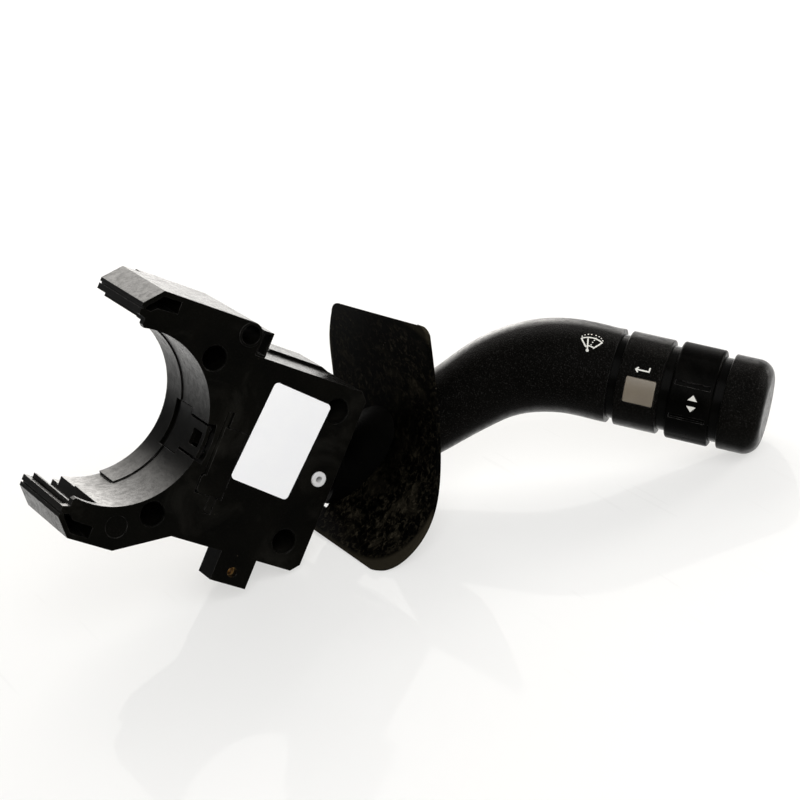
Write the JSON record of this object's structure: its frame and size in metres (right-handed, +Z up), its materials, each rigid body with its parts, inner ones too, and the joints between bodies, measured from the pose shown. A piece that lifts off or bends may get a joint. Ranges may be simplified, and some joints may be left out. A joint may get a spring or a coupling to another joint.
{
  "type": "combination stalk switch",
  "caption": "Column-mounted stalk switch: C-shaped housing on the column, bent lever with a dust shield, push button, selector ring and push-in end cap.",
  "frame": {"origin": "on the axis of the steering column seat, at the front face of the housing", "axes": "+X from the column towards the stalk, +Y along the column to the rear, +Z up when the lever points right"},
  "size_m": [0.2342, 0.1456, 0.1549],
  "materials": {
    "glass_filled_plastic": "black glass-filled nylon, matt with faint mottling",
    "soft_touch": "fine-grained soft-touch black",
    "gloss_sleeve": "smooth black",
    "shield_rubber": "thin flexible black sheet, dusty",
    "inner_nylon": "natural acetal and nylon",
    "white_nylon": "white nylon",
    "label_film": "white polyester film, bare",
    "button_grey": "satin grey",
    "zinc_steel": "zinc plated",
    "steel": "ground",
    "tin_pin": "tinned",
    "brass": "turned, knurled outside",
    "board": "glass-epoxy board with green resist"
  },
  "bodies": {
    "housing": {"housing_body": "glass_filled_plastic", "back_cover": "glass_filled_plastic", "cover_screws": "zinc_steel", "part_label": "label_film", "nylon_rivet": "white_nylon", "tab_insert": "brass", "side_clip": "glass_filled_plastic", "cradle_pin": "steel", "detent_track": "inner_nylon", "circuit_board": "board", "connector_housing": "glass_filled_plastic", "connector_pins": "tin_pin"},
    "latch_flap": {"latch_flap": "glass_filled_plastic"},
    "latch_tongue": {"latch_tongue": "glass_filled_plastic"},
    "cradle": {"lever_cradle": "inner_nylon", "detent_spring": "steel", "contact_slider": "inner_nylon", "pull_pin": "steel"},
    "detent_plunger": {"detent_plunger": "inner_nylon"},
    "lever": {"lever_neck": "glass_filled_plastic", "shield_collar": "glass_filled_plastic", "dust_shield": "shield_rubber", "stalk_grip": "soft_touch", "stalk_core": "inner_nylon", "end_sleeve": "gloss_sleeve", "button_ring": "soft_touch", "switch_board": "board", "button_switch": "inner_nylon", "end_switch": "inner_nylon"},
    "push_button": {"push_button": "button_grey"},
    "selector_ring": {"selector_ring": "soft_touch"},
    "end_cap": {"end_cap": "soft_touch"}
  },
  "joints": [
    {"name": "lever_up", "type": "hinge", "parent": "housing", "child": "cradle", "pos_m": [0.058, 0.022, 0], "axis": [0, -1, 0], "range_deg": [0, 18]},
    {"name": "lever_pull", "type": "hinge", "parent": "cradle", "child": "lever", "pos_m": [0.0725, 0.03, 0], "axis": [0, 0, -1], "range_deg": [0, 6], "stiffness_Nm_per_rad": 12, "springref_deg": -4.58},
    {"name": "detent_press", "type": "slide", "parent": "cradle", "child": "detent_plunger", "axis": [-0.2588, 0, -0.9659], "range_m": [0, 0.0006], "stiffness_N_per_m": 900, "springref_m": -0.003},
    {"name": "button_press", "type": "slide", "parent": "lever", "child": "push_button", "axis": [0.6683, 0.7174, 0.1971], "range_m": [0, 0.001], "stiffness_N_per_m": 1500, "springref_m": -0.0012},
    {"name": "selector_turn", "type": "hinge", "parent": "lever", "child": "selector_ring", "pos_m": [0.19422, -0.05785, 0.0841], "axis": [0.6973, -0.6963, 0.1701], "range_deg": [-15, 15], "stiffness_Nm_per_rad": 0.6},
    {"name": "cap_press", "type": "slide", "parent": "lever", "child": "end_cap", "axis": [-0.6973, 0.6963, -0.1701], "range_m": [0, 0.0025], "stiffness_N_per_m": 1500, "springref_m": -0.002},
    {"name": "flap_open", "type": "hinge", "parent": "housing", "child": "latch_flap", "pos_m": [0.0408, 0.0013, 0], "axis": [0, 0, -1], "range_deg": [0, 12]},
    {"name": "tongue_release", "type": "slide", "parent": "housing", "child": "latch_tongue", "axis": [1, 0, 0], "range_m": [0, 0.0016], "stiffness_N_per_m": 200, "springref_m": -0.004}
  ],
  "couplings": [
    {"joint": "flap_open", "follows": "tongue_release", "rad_per_m": 130.89}
  ]
}
